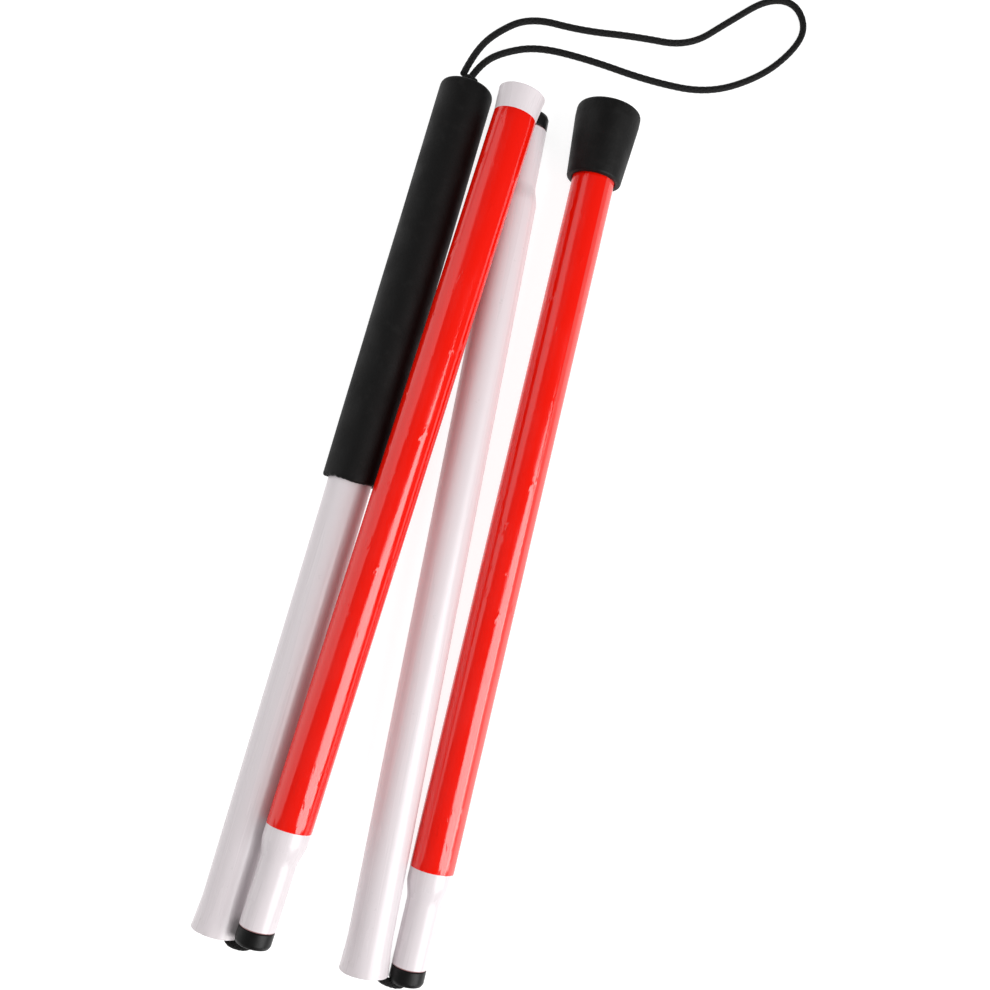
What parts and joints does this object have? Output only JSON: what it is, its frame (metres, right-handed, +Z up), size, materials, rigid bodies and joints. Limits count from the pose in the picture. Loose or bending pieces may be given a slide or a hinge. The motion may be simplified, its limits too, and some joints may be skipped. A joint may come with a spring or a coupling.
{
  "type": "white cane",
  "caption": "Folding white cane with a black grip, four tubes, red reflective bands, a rubber tip and a black wrist cord, folded up and lying flat.",
  "frame": {"origin": "on the surface the folded cane lies on, under the centre of its outline without the wrist cord", "axes": "+Z up from the surface, +Y along the cane towards the end of the grip, +X towards the section with the rubber tip"},
  "size_m": [0.2374, 0.3842, 0.031],
  "materials": {
    "white_paint": "gloss",
    "red_film": "gloss",
    "grip_rubber": "matte",
    "tip_rubber": "matte",
    "black_plug": "satin",
    "end_plugs": "matte",
    "elastic": "matte",
    "wrist_cord": "matte",
    "washer_steel": "satin"
  },
  "bodies": {
    "handle": {"handle_tube": "white_paint", "handle_grip": "grip_rubber", "handle_end_plug": "end_plugs", "elastic_knot_upper": "elastic", "wrist_loop": "wrist_cord", "wrist_loop_knot": "wrist_cord"},
    "elastic_1": {"elastic_run_1": "elastic"},
    "swivel_1": {"elastic_lead_1": "elastic"},
    "elastic_bend_1": {"elastic_bend_1": "elastic"},
    "section_2": {"section_2_tube": "white_paint", "section_2_film": "red_film", "section_2_plug": "black_plug"},
    "elastic_2": {"elastic_run_2": "elastic"},
    "elastic_bend_2": {"elastic_bend_2": "elastic"},
    "section_3": {"section_3_tube": "white_paint", "section_3_plug": "black_plug", "elastic_lead_2": "elastic"},
    "elastic_3": {"elastic_run_3": "elastic"},
    "elastic_bend_3": {"elastic_bend_3": "elastic"},
    "section_4": {"section_4_tube": "white_paint", "section_4_film": "red_film", "section_4_plug": "black_plug", "rubber_tip": "tip_rubber", "tip_washer": "washer_steel", "tip_end_plug": "end_plugs", "elastic_knot_lower": "elastic", "elastic_run_4": "elastic", "elastic_lead_3": "elastic"}
  },
  "joints": [
    {"name": "seat_1", "type": "slide", "parent": "handle", "child": "elastic_1", "axis": [0.2723, 0.9622, -0.0014], "range_m": [0, 0.0344], "deforming": ["elastic_run_1"]},
    {"name": "fold_1", "type": "hinge", "parent": "elastic_1", "child": "swivel_1", "pos_m": [-0.0663, -0.14437, 0.01535], "axis": [0.5543, -0.1614, -0.8165], "range_deg": [0, 178.69], "deforming": ["elastic_bend_1", "elastic_lead_1"]},
    {"name": "bend_1", "type": "hinge", "parent": "handle", "child": "elastic_bend_1", "pos_m": [-0.0663, -0.14437, 0.01535], "axis": [0.5543, -0.1614, -0.8165], "range_deg": [0, 178.69]},
    {"name": "twist_1", "type": "hinge", "parent": "swivel_1", "child": "section_2", "pos_m": [-0.05986, -0.14543, 0.01992], "axis": [-0.2937, -0.9559, -0.0065], "range_deg": [0, 127]},
    {"name": "seat_2", "type": "slide", "parent": "section_2", "child": "elastic_2", "axis": [-0.2937, -0.9559, -0.0065], "range_m": [0, 0.0344], "deforming": ["elastic_run_2"]},
    {"name": "fold_2", "type": "hinge", "parent": "elastic_2", "child": "section_3", "pos_m": [0.03706, 0.1582, 0.01493], "axis": [0.8712, -0.219, 0.4393], "range_deg": [0, 177.89], "deforming": ["elastic_bend_2", "elastic_lead_2", "wrist_loop"]},
    {"name": "bend_2", "type": "hinge", "parent": "section_2", "child": "elastic_bend_2", "pos_m": [0.03706, 0.1582, 0.01493], "axis": [0.8712, -0.219, 0.4393], "range_deg": [0, 177.89]},
    {"name": "seat_3", "type": "slide", "parent": "section_3", "child": "elastic_3", "axis": [0.192, 0.9814, -0.0038], "range_m": [0, 0.0344], "deforming": ["elastic_run_3"]},
    {"name": "fold_3", "type": "hinge", "parent": "elastic_3", "child": "section_4", "pos_m": [-0.01419, -0.16231, 0.00841], "axis": [-0.0846, 0.0238, -0.9961], "range_deg": [0, 177.9], "deforming": ["elastic_bend_3", "elastic_lead_3"]},
    {"name": "bend_3", "type": "hinge", "parent": "section_3", "child": "elastic_bend_3", "pos_m": [-0.01419, -0.16231, 0.00841], "axis": [-0.0846, 0.0238, -0.9961], "range_deg": [0, 177.9]}
  ],
  "couplings": [
    {"joint": "bend_1", "follows": "fold_1", "ratio": 1},
    {"joint": "twist_1", "follows": "fold_1", "ratio": 0.71071},
    {"joint": "bend_2", "follows": "fold_2", "ratio": 1},
    {"joint": "bend_3", "follows": "fold_3", "ratio": 1}
  ]
}
